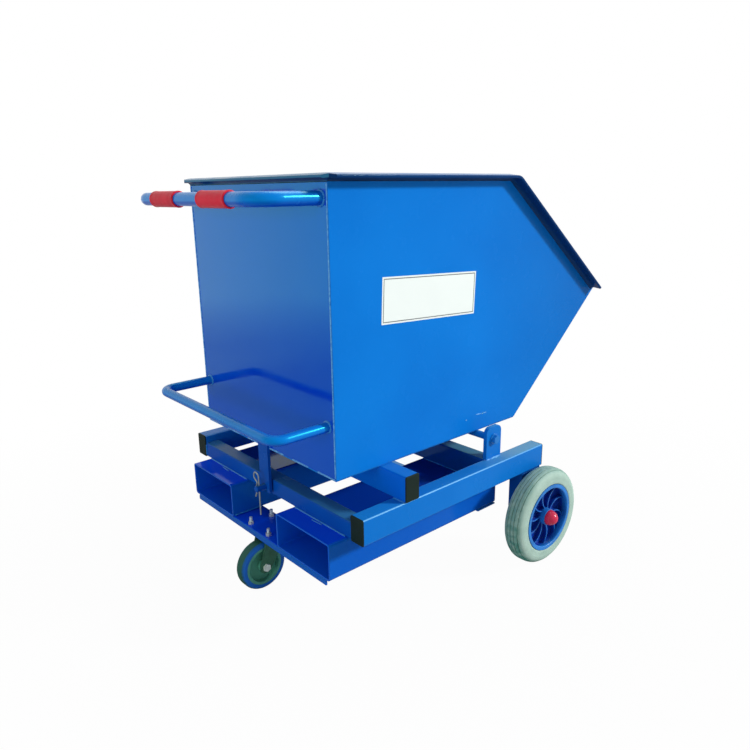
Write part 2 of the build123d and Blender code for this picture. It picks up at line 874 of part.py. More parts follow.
with BuildPart() as kingpin:
    with BuildSketch(Plane(origin=(caster_x, 0, crown_bottom - swivel_gap))):
        Circle(kingpin_diameter / 2)
    extrude(amount=caster_height - crown_bottom + swivel_gap)
    with BuildSketch(Plane(origin=(caster_x, 0, crown_bottom - swivel_gap))):
        Circle(kingpin_head_diameter / 2)
    extrude(amount=-kingpin_head_height)
save(kingpin.part, "caster_kingpin")

caster_bolts = []
caster_nuts = []
bolt_places = GridLocations(caster_hole_spacing_x, caster_hole_spacing_y, 2, 2).locations
for place in bolt_places:
    bolt_x = caster_x + place.position.X
    bolt_y = place.position.Y
    head_plane = Plane(origin=(bolt_x, bolt_y, caster_plate_z), z_dir=(0, 0, -1))
    shank = channel_sheet + caster_plate_thickness + caster_nut_height + caster_bolt_tail
    caster_bolts.append(
        hex_bolt(head_plane, caster_head_width, caster_head_height, caster_bolt_diameter, shank)
    )
    with BuildPart() as nut:
        with BuildSketch(Plane(origin=(bolt_x, bolt_y, pocket_z))):
            RegularPolygon(caster_head_width / 2, 6, major_radius=False)
            Circle(caster_bolt_diameter / 2 + push_fit_gap, mode=Mode.SUBTRACT)
        extrude(amount=caster_nut_height)
    caster_nuts.append(nut.part)
save(group(caster_bolts), "caster_bolts")
save(group(caster_nuts), "caster_nuts")

# Swivel caster: fork, axle and wheel
fork_inner = caster_hub_width / 2 + fork_side_gap
fork_outer = fork_inner + fork_sheet
with BuildPart() as caster_fork:
    for side in (-1, 1):
        with BuildSketch(Plane.XZ.offset(-side * fork_inner)):
            with BuildLine():
                Polyline(
                    (caster_x - fork_rear, crown_top),
                    (caster_x + fork_front, crown_top),
                    (caster_x + fork_front, crown_top - fork_shoulder),
                    (caster_axle_x + fork_toe, caster_axle_z - fork_toe / 2),
                    (caster_axle_x + fork_toe / 2, caster_axle_z - fork_toe),
                    (caster_axle_x - fork_toe / 2, caster_axle_z - fork_toe),
                    (caster_axle_x - fork_toe, caster_axle_z - fork_toe / 2),
                    (caster_axle_x - fork_toe, caster_axle_z + fork_toe / 2),
                    close=True,
                )
            make_face()
            with Locations((caster_axle_x, caster_axle_z)):
                Circle(caster_axle_diameter / 2 + axle_running_gap, mode=Mode.SUBTRACT)
        extrude(amount=-side * fork_sheet)
    with BuildSketch(Plane(origin=(caster_x, 0, crown_bottom))):
        with Locations(((fork_front - fork_rear) / 2, 0)):
            Rectangle(fork_front + fork_rear, 2 * fork_outer)
        Circle(kingpin_diameter / 2 + kingpin_running_gap, mode=Mode.SUBTRACT)
    extrude(amount=crown_thickness)
save(caster_fork.part, "caster_fork")

caster_axle_plane = Plane(origin=(caster_axle_x, -fork_outer, caster_axle_z), z_dir=(0, -1, 0))
save(
    hex_bolt(
        caster_axle_plane,
        caster_axle_head_width,
        caster_nut_height,
        caster_axle_diameter,
        2 * fork_outer + caster_nut_height + caster_axle_tail,
    ),
    "caster_axle_bolt",
)
with BuildPart() as caster_axle_nut:
    with BuildSketch(Plane(origin=(caster_axle_x, fork_outer, caster_axle_z), z_dir=(0, 1, 0))):
        RegularPolygon(caster_axle_head_width / 2, 6, major_radius=False)
        Circle(caster_axle_diameter / 2 + push_fit_gap, mode=Mode.SUBTRACT)
    extrude(amount=caster_nut_height)
save(caster_axle_nut.part, "caster_axle_nut")

caster_bush_radius = caster_axle_diameter / 2 + caster_bush_wall
caster_core_radius = caster_wheel_diameter / 2 - caster_tyre_thickness
caster_axis = Axis((caster_axle_x, 0, caster_axle_z), (0, 1, 0))
caster_plane = Plane(origin=(caster_axle_x, 0, caster_axle_z), x_dir=(0, -1, 0), z_dir=(-1, 0, 0))
with BuildPart() as caster_core:
    with BuildSketch(caster_plane):
        with Locations((0, (caster_core_radius + caster_bush_radius) / 2)):
            Rectangle(caster_core_web, caster_core_radius - caster_bush_radius)
        with Locations((0, caster_core_radius - caster_core_ring / 2)):
            Rectangle(caster_wheel_width, caster_core_ring)
        with Locations((0, (caster_hub_radius + caster_bush_radius) / 2)):
            Rectangle(caster_hub_width, caster_hub_radius - caster_bush_radius)
    revolve(axis=caster_axis)
save(caster_core.part, "caster_wheel_core")

with BuildPart() as caster_tyre:
    with BuildSketch(caster_plane) as caster_tyre_section:
        with Locations((0, (caster_core_radius + push_fit_gap + caster_wheel_diameter / 2) / 2)):
            Rectangle(caster_wheel_width, caster_tyre_thickness - push_fit_gap)
        fillet(caster_tyre_section.vertices().group_by(Axis.Y)[-1], caster_tyre_shoulder)
    revolve(axis=caster_axis)
save(caster_tyre.part, "caster_tyre")

save(
    ring_along_y(
        caster_axle_x,
        caster_axle_z,
        caster_axle_diameter / 2 + axle_running_gap,
        caster_bush_radius,
        -caster_hub_width / 2,
        caster_hub_width / 2,
    ),
    "caster_bush",
)
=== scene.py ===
"""Looks for the tipping hopper: materials, weld beads, grips, lights and the photograph's camera."""
import json
import math
import random

import bpy
from mathutils import Matrix, Vector


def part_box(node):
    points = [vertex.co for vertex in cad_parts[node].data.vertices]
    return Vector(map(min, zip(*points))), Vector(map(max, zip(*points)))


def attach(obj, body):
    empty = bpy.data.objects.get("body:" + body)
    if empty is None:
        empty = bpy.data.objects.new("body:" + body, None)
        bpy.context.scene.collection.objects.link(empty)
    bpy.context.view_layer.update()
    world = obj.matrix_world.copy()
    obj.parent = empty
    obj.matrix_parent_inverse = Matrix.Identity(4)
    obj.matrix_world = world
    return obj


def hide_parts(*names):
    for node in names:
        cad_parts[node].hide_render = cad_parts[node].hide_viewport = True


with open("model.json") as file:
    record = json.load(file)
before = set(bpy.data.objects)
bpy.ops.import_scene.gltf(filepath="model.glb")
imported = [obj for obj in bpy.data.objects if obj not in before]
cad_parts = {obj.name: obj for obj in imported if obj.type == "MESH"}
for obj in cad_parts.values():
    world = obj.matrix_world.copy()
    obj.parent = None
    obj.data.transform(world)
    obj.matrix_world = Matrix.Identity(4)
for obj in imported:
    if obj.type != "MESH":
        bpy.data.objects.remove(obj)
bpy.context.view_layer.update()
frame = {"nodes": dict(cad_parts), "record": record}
nodes = frame["nodes"]
MM = 0.001

# Places taken from the solids, in metres
rear_low, rear_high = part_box("rear_panel")
side_low, side_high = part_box("side_panel_right")
floor_low, floor_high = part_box("floor_panel")
chute_low, chute_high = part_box("chute_panel")
grip_low, grip_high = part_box("grip_right")
handle_low, handle_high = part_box("push_handle")
loop_low, loop_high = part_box("tipping_loop")
latch_low, latch_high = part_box("latch_bar")
tube_low, tube_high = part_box("pivot_tube")
pocket_low, pocket_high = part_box("fork_pocket_left")
beam_low, beam_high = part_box("side_beam_left")
rear_cross_low, rear_cross_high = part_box("rear_crossbeam")
front_cross_low, front_cross_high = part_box("front_crossbeam")
rest_low, rest_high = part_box("rest_crosstube")
bracket_low, bracket_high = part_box("pivot_bracket_left")
leg_low, leg_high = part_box("axle_leg_left")
channel_low, channel_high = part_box("caster_channel")
tie_low, tie_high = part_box("front_tie_bar")
stud_low, stud_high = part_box("latch_stud")
tyre_low, tyre_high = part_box("tyre_left")
caster_low, caster_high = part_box("caster_tyre")
label_low, label_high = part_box("blank_label")

# The photograph's camera
EYE = Vector((-1.18675, -1.2961, 0.9545))
YAW, PITCH, ROLL = (math.radians(a) for a in (41.38, 15.55, -0.78))
FOCAL_PX = 665.35
PICTURE_PX = 750.0
SENSOR_MM = 36.0

# Where painted light and shade on the paint fade along the length, in metres
REAR_TOPS_FADE = (0.14, -0.02)
UNDER_HOPPER_FADE = (rear_low.x, rear_low.x + 0.05)
NOSE_FADE = (0.05, 0.50)

# Radius of the rounding that light shows on sharp edges
PAINT_EDGE = 1.4 * MM
ZINC_EDGE = 0.6 * MM
PLASTIC_EDGE = 0.9 * MM
RUBBER_EDGE = 1.2 * MM

# Height of fine relief
ORANGE_PEEL = 0.03 * MM
ZINC_GRAIN = 0.03 * MM
THREAD_DEPTH = 0.4 * MM
RUBBER_GRAIN = 0.08 * MM
WALL_RING_HEIGHT = 0.15 * MM
LABEL_CREASE = 0.1 * MM

WALL_RING_PITCH = 9.5 * MM
WAVE_PERIOD = 0.314      # length of one band of a wave texture at scale 1
# The caster tyre's wall colour is a painted reflection of the blue paint nearby.
BAND_EDGE = (10.5 * MM, 12.0 * MM)      # where the caster tyre's wall colour begins and is full

# The blank label
LABEL_PAPER = (0.85, 0.92, 0.885)
LABEL_AGED = (0.79, 0.86, 0.83)
LABEL_LINE = (0.16, 0.18, 0.19)
LABEL_HALF_LENGTH = 148.5 * MM
LABEL_HALF_HEIGHT = 50.0 * MM
LABEL_TILT = math.radians(-2.5)
LINE_INSET = 4.5 * MM
LINE_HALF_WIDTH = 1.1 * MM


# Material helpers
def material(name, colour, roughness, **sockets):
    """A principled material whose plain values sit on the shader's own sockets."""
    made = bpy.data.materials.new(name)
    made.use_nodes = True
    tree = made.node_tree
    shader = tree.nodes["Principled BSDF"]
    shader.inputs["Base Color"].default_value = (*colour, 1.0)
    shader.inputs["Roughness"].default_value = roughness
    for socket, value in sockets.items():
        shader.inputs[socket.replace("_", " ")].default_value = value
    return made, tree, shader


def place(tree, stretch=(1.0, 1.0, 1.0), shift=(0.0, 0.0, 0.0)):
    """Object coordinates, moved and then stretched per axis."""
    coordinates = tree.nodes.new("ShaderNodeTexCoord")
    moved = tree.nodes.new("ShaderNodeVectorMath")
    moved.operation = "ADD"
    moved.inputs[1].default_value = shift
    tree.links.new(coordinates.outputs["Object"], moved.inputs[0])
    stretched = tree.nodes.new("ShaderNodeVectorMath")
    stretched.operation = "MULTIPLY"
    stretched.inputs[1].default_value = stretch
    tree.links.new(moved.outputs[0], stretched.inputs[0])
    return stretched.outputs[0]


def noise(tree, scale, detail=3.0, stretch=(1.0, 1.0, 1.0)):
    """Fractal noise in object space."""
    texture = tree.nodes.new("ShaderNodeTexNoise")
    texture.inputs["Scale"].default_value = scale
    texture.inputs["Detail"].default_value = detail
    tree.links.new(place(tree, stretch), texture.inputs["Vector"])
    return texture.outputs["Fac"]


def math_node(tree, operation, *values):
    """One sum on sockets or numbers."""
    node = tree.nodes.new("ShaderNodeMath")
    node.operation = operation
    for socket, value in zip(node.inputs, values):
        if isinstance(value, (int, float)):
            socket.default_value = value
        else:
            tree.links.new(value, socket)
    return node.outputs[0]


def spread(tree, value, low, high, out_low=0.0, out_high=1.0):
    """Maps a range of a value onto another range."""
    remap = tree.nodes.new("ShaderNodeMapRange")
    remap.inputs["From Min"].default_value = low
    remap.inputs["From Max"].default_value = high
    remap.inputs["To Min"].default_value = out_low
    remap.inputs["To Max"].default_value = out_high
    tree.links.new(value, remap.inputs["Value"])
    return remap.outputs["Result"]


def blend(tree, factor, first, second):
    """Mixes two colours, each given as numbers or as a socket."""
    mix = tree.nodes.new("ShaderNodeMix")
    mix.data_type = "RGBA"
    tree.links.new(factor, mix.inputs["Factor"])
    for socket, colour in ((mix.inputs[6], first), (mix.inputs[7], second)):
        if isinstance(colour, tuple):
            socket.default_value = (*colour, 1.0)
        else:
            tree.links.new(colour, socket)
    return mix.outputs[2]


def bump(tree, height, distance, normal=None):
    """A bump whose height is the texture's value times a distance in metres."""
    made = tree.nodes.new("ShaderNodeBump")
    made.inputs["Strength"].default_value = 1.0
    made.inputs["Distance"].default_value = distance
    tree.links.new(height, made.inputs["Height"])
    if normal is not None:
        tree.links.new(normal, made.inputs["Normal"])
    return made.outputs["Normal"]


def soft_edges(tree, radius):
    """Normals that round off sharp edges."""
    edges = tree.nodes.new("ShaderNodeBevel")
    edges.samples = 4
    edges.inputs["Radius"].default_value = radius
    return edges.outputs["Normal"]


def edge_mask(tree, rounded):
    """1 close to an edge, 0 on the flat, from how far the rounded normal leans."""
    geometry = tree.nodes.new("ShaderNodeNewGeometry")
    lean = tree.nodes.new("ShaderNodeVectorMath")
    lean.operation = "DOT_PRODUCT"
    tree.links.new(geometry.outputs["True Normal"], lean.inputs[0])
    tree.links.new(rounded, lean.inputs[1])
    return spread(tree, lean.outputs["Value"], 0.995, 0.86)


def scaled(colour, factor):
    """A colour times a number, kept in range."""
    return tuple(min(1.0, c * factor) for c in colour)


def normal_parts(tree):
    """The shading normal as three sockets by the names X, Y and Z."""
    geometry = tree.nodes.new("ShaderNodeNewGeometry")
    parts = tree.nodes.new("ShaderNodeSeparateXYZ")
    tree.links.new(geometry.outputs["Normal"], parts.inputs[0])
    return parts.outputs


def facing_up(tree):
    """1 on faces that look up, 0 on the rest."""
    return spread(tree, normal_parts(tree)["Z"], 0.75, 0.95)


def facing_down(tree):
    """1 on faces that look down, 0 on the rest."""
    return spread(tree, normal_parts(tree)["Z"], -0.15, -0.5)


def facing_front(tree):
    """1 on faces that look forward, 0 on the rest."""
    return spread(tree, normal_parts(tree)["X"], 0.4, 0.6)


def highlight_top_corner(tree):
    """1 on the rounded corner between a beam's top and its sides, 0 on the flats; a painted highlight lies
    there.
    """
    parts = normal_parts(tree)
    sideways = math_node(tree, "ABSOLUTE", parts["Y"])
    slant = math_node(tree, "ADD", sideways, parts["Z"])
    lean = math_node(tree, "MULTIPLY", slant, math.sqrt(0.5))
    return spread(tree, lean, 0.90, 0.98)


def axes(tree):
    """Object coordinates as three sockets."""
    parts = tree.nodes.new("ShaderNodeSeparateXYZ")
    tree.links.new(place(tree), parts.inputs[0])
    return parts.outputs["X"], parts.outputs["Y"], parts.outputs["Z"]


def inside_pocket(tree):
    """1 on the inner walls of the fork pockets, 0 outside; painted light, a lighter blue, lies there."""
    y, z = axes(tree)[1:]
    skin = 1.5 * MM
    blur = 0.5 * MM
    out = math_node(tree, "ABSOLUTE", y)
    depths = [
        math_node(tree, "SUBTRACT", out, pocket_low.y + skin),
        math_node(tree, "SUBTRACT", pocket_high.y - skin, out),
        math_node(tree, "SUBTRACT", z, pocket_low.z + skin),
        math_node(tree, "SUBTRACT", pocket_high.z - skin, z),
    ]
    across = math_node(tree, "MINIMUM", depths[0], depths[1])
    upward = math_node(tree, "MINIMUM", depths[2], depths[3])
    return spread(tree, math_node(tree, "MINIMUM", across, upward), 0.0, blur)


def rear_tops(tree):
    """1 on faces that look up at the rear of the base, fading out towards the front wheels; there the
    painted sheen of the tops gives way to plain blue.
    """
    fade = spread(tree, axes(tree)[0], *REAR_TOPS_FADE)
    return math_node(tree, "MULTIPLY", facing_up(tree), fade)


def shadow_under_hopper(tree):
    """1 on faces that look up underneath the hopper, 0 behind its rear panel; a painted shadow lies there.
    """
    fade = spread(tree, axes(tree)[0], *UNDER_HOPPER_FADE)
    return math_node(tree, "MULTIPLY", facing_up(tree), fade)


def shade_towards_front(tree):
    """0 over the rear half of the hopper, 1 near its nose; painted shade grows towards the nose."""
    return spread(tree, axes(tree)[0], *NOSE_FADE)


def paint(name, colour, deep, gloss, roughness, top=None, shades=(), tint=(0.45, 1.0, 0.95), drift=4.0,
          ior=1.5, wave=1.2 * MM):
    """Glossy enamel on steel: faint drift between two tones, orange peel, wavy sheet and thin paler edges,
    partly wear and partly a painted highlight.

    The top colour is painted light on faces that look up, a lighter or darker tone for how light falls on
    them; each shade is a painted tone of light or shade, with the mask of where it lies.
    The wave is how far the sheet leaves the flat.
    """
    made, tree, shader = material(name, colour, roughness, Specular_IOR_Level=gloss,
                                  Specular_Tint=(*tint, 1.0), IOR=ior)
    rounded = soft_edges(tree, PAINT_EDGE)
    patches = spread(tree, noise(tree, drift, 2.0), 0.35, 0.68)
    tone = blend(tree, patches, colour, deep)
    if top is not None:
        tone = blend(tree, facing_up(tree), tone, top)
    for shade, mask in shades:
        tone = blend(tree, mask(tree), tone, shade)
    specks = spread(tree, noise(tree, 260.0, 4.0), 0.66, 0.8, 0.0, 0.35)
    speckled = blend(tree, specks, tone, scaled(colour, 1.35))
    # Paler edges: partly wear, partly a painted highlight along the edges.
    wear = spread(tree, noise(tree, 35.0, 4.0), 0.42, 0.62, 0.1, 0.6)
    worn_and_highlit = math_node(tree, "MULTIPLY", edge_mask(tree, rounded), wear)
    pale = tuple(c * 1.15 + 0.05 for c in colour)
    tree.links.new(blend(tree, worn_and_highlit, speckled, pale), shader.inputs["Base Color"])
    dulled = spread(tree, noise(tree, 18.0, 5.0), 0.3, 0.7, roughness - 0.05, roughness + 0.07)
    tree.links.new(dulled, shader.inputs["Roughness"])
    sheet = bump(tree, noise(tree, 6.0, 1.0), wave, rounded)
    peel = bump(tree, noise(tree, 330.0, 2.0), ORANGE_PEEL, sheet)
    tree.links.new(peel, shader.inputs["Normal"])
    return made


def zinc(name, colour, roughness, metal=0.45):
    """Dull zinc plate with faint mottling and handling marks."""
    made, tree, shader = material(name, colour, roughness, Metallic=metal)
    mottle = spread(tree, noise(tree, 90.0, 4.0), 0.3, 0.75)
    tree.links.new(blend(tree, mottle, colour, scaled(colour, 0.68)), shader.inputs["Base Color"])
    marks = spread(tree, noise(tree, 240.0, 3.0), 0.3, 0.7, roughness, roughness + 0.2)
    tree.links.new(marks, shader.inputs["Roughness"])
    grain = bump(tree, noise(tree, 500.0), ZINC_GRAIN, soft_edges(tree, ZINC_EDGE))
    tree.links.new(grain, shader.inputs["Normal"])
    return made


def threaded(name, colour, roughness, axis, pitch):
    """Zinc plate with a fine screw thread rolled round one axis."""
    made = zinc(name, colour, roughness)
    tree = made.node_tree
    shader = tree.nodes["Principled BSDF"]
    stretch = tuple(1.0 if a == axis else 0.0 for a in "XYZ")
    turns = tree.nodes.new("ShaderNodeTexWave")
    turns.bands_direction = axis
    turns.inputs["Scale"].default_value = WAVE_PERIOD / pitch
    tree.links.new(place(tree, stretch), turns.inputs["Vector"])
    thread = bump(tree, turns.outputs["Fac"], THREAD_DEPTH, soft_edges(tree, ZINC_EDGE))
    tree.links.new(thread, shader.inputs["Normal"])
    return made


def plastic(name, colour, roughness, grain, depth, fade=0.78, gloss=0.3, shade=None):
    """Moulded plastic with a fine grain and a faint change of tone.

    The shade is a colour with the mask of where it lies.
    """
    made, tree, shader = material(name, colour, roughness, Specular_IOR_Level=gloss)
    rounded = soft_edges(tree, PLASTIC_EDGE)
    patches = spread(tree, noise(tree, 22.0), 0.3, 0.7)
    tone = blend(tree, patches, colour, scaled(colour, fade))
    if shade is not None:
        shade_colour, mask = shade
        tone = blend(tree, mask(tree), tone, shade_colour)
    wear = spread(tree, noise(tree, 60.0, 4.0), 0.4, 0.65, 0.0, 0.45)
    rubbed = math_node(tree, "MULTIPLY", edge_mask(tree, rounded), wear)
    light = tuple(c * 1.1 + 0.03 for c in colour)
    tree.links.new(blend(tree, rubbed, tone, light), shader.inputs["Base Color"])
    dulled = spread(tree, noise(tree, 120.0), 0.3, 0.7, roughness - 0.04, roughness + 0.1)
    tree.links.new(dulled, shader.inputs["Roughness"])
    tree.links.new(bump(tree, noise(tree, grain, 2.0), depth, rounded), shader.inputs["Normal"])
    return made


def from_axis(tree, middle):
    """Distance in metres from an axis along Y through a point."""
    flat = place(tree, (1.0, 0.0, 1.0), tuple(-c for c in middle))
    length = tree.nodes.new("ShaderNodeVectorMath")
    length.operation = "LENGTH"
    tree.links.new(flat, length.inputs[0])
    return length.outputs["Value"]


def rubber(name, middle, radius, colour, shade, dust_and_shade_colour, reflection_band=None):
    """Tyre rubber with a darker, patchy tread, partly dusty and partly painted shade, and moulded rings on
    the walls.

    The darkening grows towards the ground. The blue on the walls, where given, is a painted reflection of
    the blue paint nearby.
    """
    made, tree, shader = material(name, colour, roughness=0.6, Specular_IOR_Level=0.25)
    out = from_axis(tree, middle)
    patches = spread(tree, noise(tree, 26.0, 4.0), 0.3, 0.72)
    tone = blend(tree, patches, colour, shade)
    # Painted reflection: blue on the caster tyre's walls for the blue paint that they reflect.
    if reflection_band is not None:
        from_middle = math_node(tree, "ABSOLUTE", axes(tree)[1])
        tone = blend(tree, spread(tree, from_middle, *BAND_EDGE), tone, reflection_band)
    # Darker tread, partly dusty and partly painted shade, strongest towards the ground.
    tread = spread(tree, out, 0.91 * radius, 0.975 * radius)
    clouds = spread(tree, noise(tree, 70.0, 5.0), 0.3, 0.75, 0.35, 0.9)
    lowest = spread(tree, axes(tree)[2], middle.z + radius, middle.z - radius, 0.5, 1.7)
    dust_and_shade = math_node(tree, "MULTIPLY", math_node(tree, "MULTIPLY", tread, clouds), lowest)
    tree.links.new(blend(tree, dust_and_shade, tone, dust_and_shade_colour), shader.inputs["Base Color"])
    rings = math_node(tree, "SINE", math_node(tree, "MULTIPLY", out, 2 * math.pi / WALL_RING_PITCH))
    ringed = bump(tree, spread(tree, rings, 0.9, 1.0), WALL_RING_HEIGHT, soft_edges(tree, RUBBER_EDGE))
    grain = bump(tree, noise(tree, 600.0, 3.0), RUBBER_GRAIN, ringed)
    tree.links.new(grain, shader.inputs["Normal"])
    return made


def sticker(name, middle, half_length, half_height, tilt):
    """A blank white label with a thin grey border line printed near its edge."""
    made, tree, shader = material(name, LABEL_PAPER, roughness=0.35)
    turned_over = tree.nodes.new("ShaderNodeMapping")
    turned_over.inputs["Rotation"].default_value = (0.0, tilt, 0.0)
    from_centre = place(tree, shift=tuple(-c for c in middle))
    tree.links.new(from_centre, turned_over.inputs["Vector"])
    parts = tree.nodes.new("ShaderNodeSeparateXYZ")
    tree.links.new(turned_over.outputs["Vector"], parts.inputs[0])
    along = math_node(tree, "SUBTRACT", half_length, math_node(tree, "ABSOLUTE", parts.outputs["X"]))
    upward = math_node(tree, "SUBTRACT", half_height, math_node(tree, "ABSOLUTE", parts.outputs["Z"]))
    inward = math_node(tree, "MINIMUM", along, upward)
    line = math_node(tree, "COMPARE", inward, LINE_INSET, LINE_HALF_WIDTH)
    aged = spread(tree, noise(tree, 14.0, 4.0), 0.35, 0.75, 0.0, 0.35)
    tone = blend(tree, aged, LABEL_PAPER, LABEL_AGED)
    tree.links.new(blend(tree, line, tone, LABEL_LINE), shader.inputs["Base Color"])
    tree.links.new(bump(tree, noise(tree, 60.0, 2.0), LABEL_CREASE), shader.inputs["Normal"])
    return made


wheel_middle = (tyre_low + tyre_high) / 2
wheel_radius = (tyre_high.z - tyre_low.z) / 2
caster_middle = (caster_low + caster_high) / 2
caster_radius = (caster_high.z - caster_low.z) / 2


def shade_in_dish(tree):
    """1 deep in a wheel centre, 0 on its outer faces; painted shade darkens the dish there."""
    y = axes(tree)[1]
    depth = math_node(tree, "SUBTRACT", math_node(tree, "ABSOLUTE", y), wheel_middle.y)
    return spread(tree, math_node(tree, "ABSOLUTE", depth), 16.0 * MM, 10.0 * MM)


# Finishes, with colours as linear red, green and blue. The blue enamels are copies of one paint, each with
# painted light and shade for where its part sits.
BLUE = (0.0040, 0.195, 0.68)
DEEP_BLUE = (0.0032, 0.172, 0.63)
# Painted shade: the sides turn a darker blue towards the nose.
panel_paint = paint(
    "blue_enamel_sides", BLUE, DEEP_BLUE, gloss=0.05, roughness=0.24,
    shades=(((0.0026, 0.140, 0.51), shade_towards_front),))
# Painted light: the rear panel's inner face takes the sides' lighter blue, while its outer face is a deeper
# blue that its gloss lightens.
rear_paint = paint(
    "blue_enamel_rear", (0.001, 0.052, 0.64), (0.001, 0.046, 0.62), gloss=0.5, roughness=0.07,
    shades=((BLUE, facing_front),), tint=(0.0, 1.0, 0.7), ior=2.0, wave=0.4 * MM)
# Painted shade on the rims: a near-black blue for their shaded edges and undersides, with a lighter painted
# top where they catch light from above.
rim_paint = paint(
    "blue_enamel_rims", (0.003, 0.040, 0.16), (0.003, 0.032, 0.13), gloss=0.06, roughness=0.2,
    top=(0.008, 0.130, 0.38))
# Painted light on the rear rim: a light teal for the sheen on its outer face, a blue top, and painted shade
# on its underside.
rear_rim_paint = paint(
    "blue_enamel_rear_rim", (0.040, 0.190, 0.320), (0.025, 0.150, 0.290), gloss=0.14, roughness=0.2,
    top=(0.010, 0.140, 0.30), shades=(((0.003, 0.035, 0.14), facing_down),))
# Painted light on the frame: a pale teal painted sheen on its tops, plain blue on the rear tops where that
# sheen fades out, and a painted highlight along the beams' rounded top corners.
frame_paint = paint(
    "blue_enamel_frame", (0.0038, 0.180, 0.63), (0.0030, 0.160, 0.58), gloss=0.12, roughness=0.22,
    top=(0.09, 0.34, 0.54),
    shades=(((0.010, 0.20, 0.60), rear_tops), ((0.13, 0.40, 0.76), highlight_top_corner)))
# Painted light on the rest crosstube: a more saturated blue copy of the paint, with a blue top in place of
# the frame's painted sheen.
crosstube_paint = paint(
    "blue_enamel_crosstube", (0.0020, 0.145, 0.70), (0.0018, 0.130, 0.66), gloss=0.06, roughness=0.22,
    top=(0.006, 0.180, 0.60))
# Painted shade: the rear crossbeam and latch parts take a darker blue copy of the paint for the shade
# behind the hopper, with a lighter, greyer painted top.
shaded_paint = paint(
    "blue_enamel_rear_base", (0.0025, 0.090, 0.46), (0.0020, 0.075, 0.42), gloss=0.08, roughness=0.22,
    top=(0.03, 0.16, 0.36))
# Painted light on the pockets: a deep saturated blue on their tops for the shade they lie in, a painted
# shadow where the hopper hangs over them, and a lighter blue on their inner walls for light inside them.
pocket_paint = paint(
    "blue_enamel_pockets", (0.0030, 0.112, 0.55), (0.0025, 0.094, 0.51), gloss=0.2, roughness=0.10,
    top=(0.001, 0.080, 0.90),
    shades=(((0.0012, 0.038, 0.34), shadow_under_hopper), ((0.003, 0.115, 0.74), inside_pocket)),
    tint=(0.0, 1.0, 0.9))
# Painted shade and sheen on the front crossbeam: a dark blue copy of the paint for its shaded faces, with a
# pale grey-teal painted top.
front_cross_paint = paint(
    "blue_enamel_front_cross", (0.0020, 0.090, 0.42), (0.0016, 0.078, 0.38), gloss=0.5, roughness=0.12,
    top=(0.09, 0.26, 0.34))
# Painted shade: the axle legs take a dark blue copy of the paint for the shade by the wheels.
leg_paint = paint(
    "blue_enamel_legs", (0.003, 0.075, 0.33), (0.002, 0.060, 0.29), gloss=0.1, roughness=0.24)
# Painted shade: the tubes' undersides take a darker blue.
tube_paint = paint(
    "blue_enamel_tubes", (0.004, 0.165, 0.66), (0.003, 0.145, 0.62), gloss=0.5, roughness=0.25,
    shades=(((0.001, 0.070, 0.54), facing_down),), tint=(0.0, 1.0, 0.85), ior=1.7)
weld_paint = paint(
    "blue_enamel_welds", (0.012, 0.20, 0.62), (0.008, 0.17, 0.57), gloss=0.6, roughness=0.14)
# Painted highlight: seam beads and weld marks take a pale blue that stands in for the glints along them.
seam_paint = paint(
    "blue_enamel_seams", (0.16, 0.46, 0.84), (0.006, 0.18, 0.64), gloss=0.4, roughness=0.14, drift=110.0)
zinc_plate = zinc("zinc_plate", (0.60, 0.65, 0.66), roughness=0.26)
# Painted shade: the caster fork is a dark green zinc for the shade it sits in and the green it reflects.
zinc_fork = zinc("zinc_fork", (0.040, 0.165, 0.095), roughness=0.4)
# Painted highlight: the caster's axle bolt is a near-white zinc that stands in for the glint on its head.
zinc_axle = zinc("zinc_axle", (0.84, 0.98, 0.90), roughness=0.3, metal=0.2)
zinc_wire = zinc("zinc_wire", (0.36, 0.43, 0.46), roughness=0.3)
bolt_zinc = threaded("zinc_bolts", (0.66, 0.80, 0.90), roughness=0.24, axis="Z", pitch=1.25 * MM)
black_plastic = plastic(
    "black_cap_plastic", (0.006, 0.018, 0.013), roughness=0.5, grain=900.0, depth=0.06 * MM, gloss=0.16)
red_plastic = plastic(
    "red_grip_plastic", (0.72, 0.021, 0.050), roughness=0.36, grain=700.0, depth=0.04 * MM, gloss=0.10)
hub_red = plastic(
    "red_cap_plastic", (0.68, 0.026, 0.085), roughness=0.24, grain=500.0, depth=0.02 * MM, gloss=0.3)
# Painted shade: the wheel centre's dish is a darker blue deep inside.
rim_plastic = plastic(
    "blue_rim_plastic", (0.018, 0.225, 0.70), roughness=0.3, grain=500.0, depth=0.03 * MM, fade=0.7,
    shade=((0.002, 0.034, 0.32), shade_in_dish))
core_plastic = plastic(
    "green_core_plastic", (0.110, 0.420, 0.300), roughness=0.42, grain=500.0, depth=0.05 * MM, gloss=0.16)
bush_plastic = plastic(
    "bush_nylon", (0.55, 0.53, 0.48), roughness=0.45, grain=500.0, depth=0.04 * MM)
# The darker tread colours below are partly dusty and partly painted shade; the caster tyre's blue on its
# walls is a painted reflection.
tyre_rubber = rubber(
    "grey_tyre_rubber", wheel_middle, wheel_radius,
    colour=(0.42, 0.58, 0.50), shade=(0.33, 0.48, 0.41), dust_and_shade_colour=(0.055, 0.23, 0.18))
caster_rubber = rubber(
    "caster_tyre_rubber", caster_middle, caster_radius,
    colour=(0.030, 0.145, 0.100), shade=(0.022, 0.115, 0.082), dust_and_shade_colour=(0.016, 0.080, 0.055),
    reflection_band=(0.008, 0.145, 0.60))
label_white = sticker(
    "white_label", (label_low + label_high) / 2, LABEL_HALF_LENGTH, LABEL_HALF_HEIGHT, LABEL_TILT)

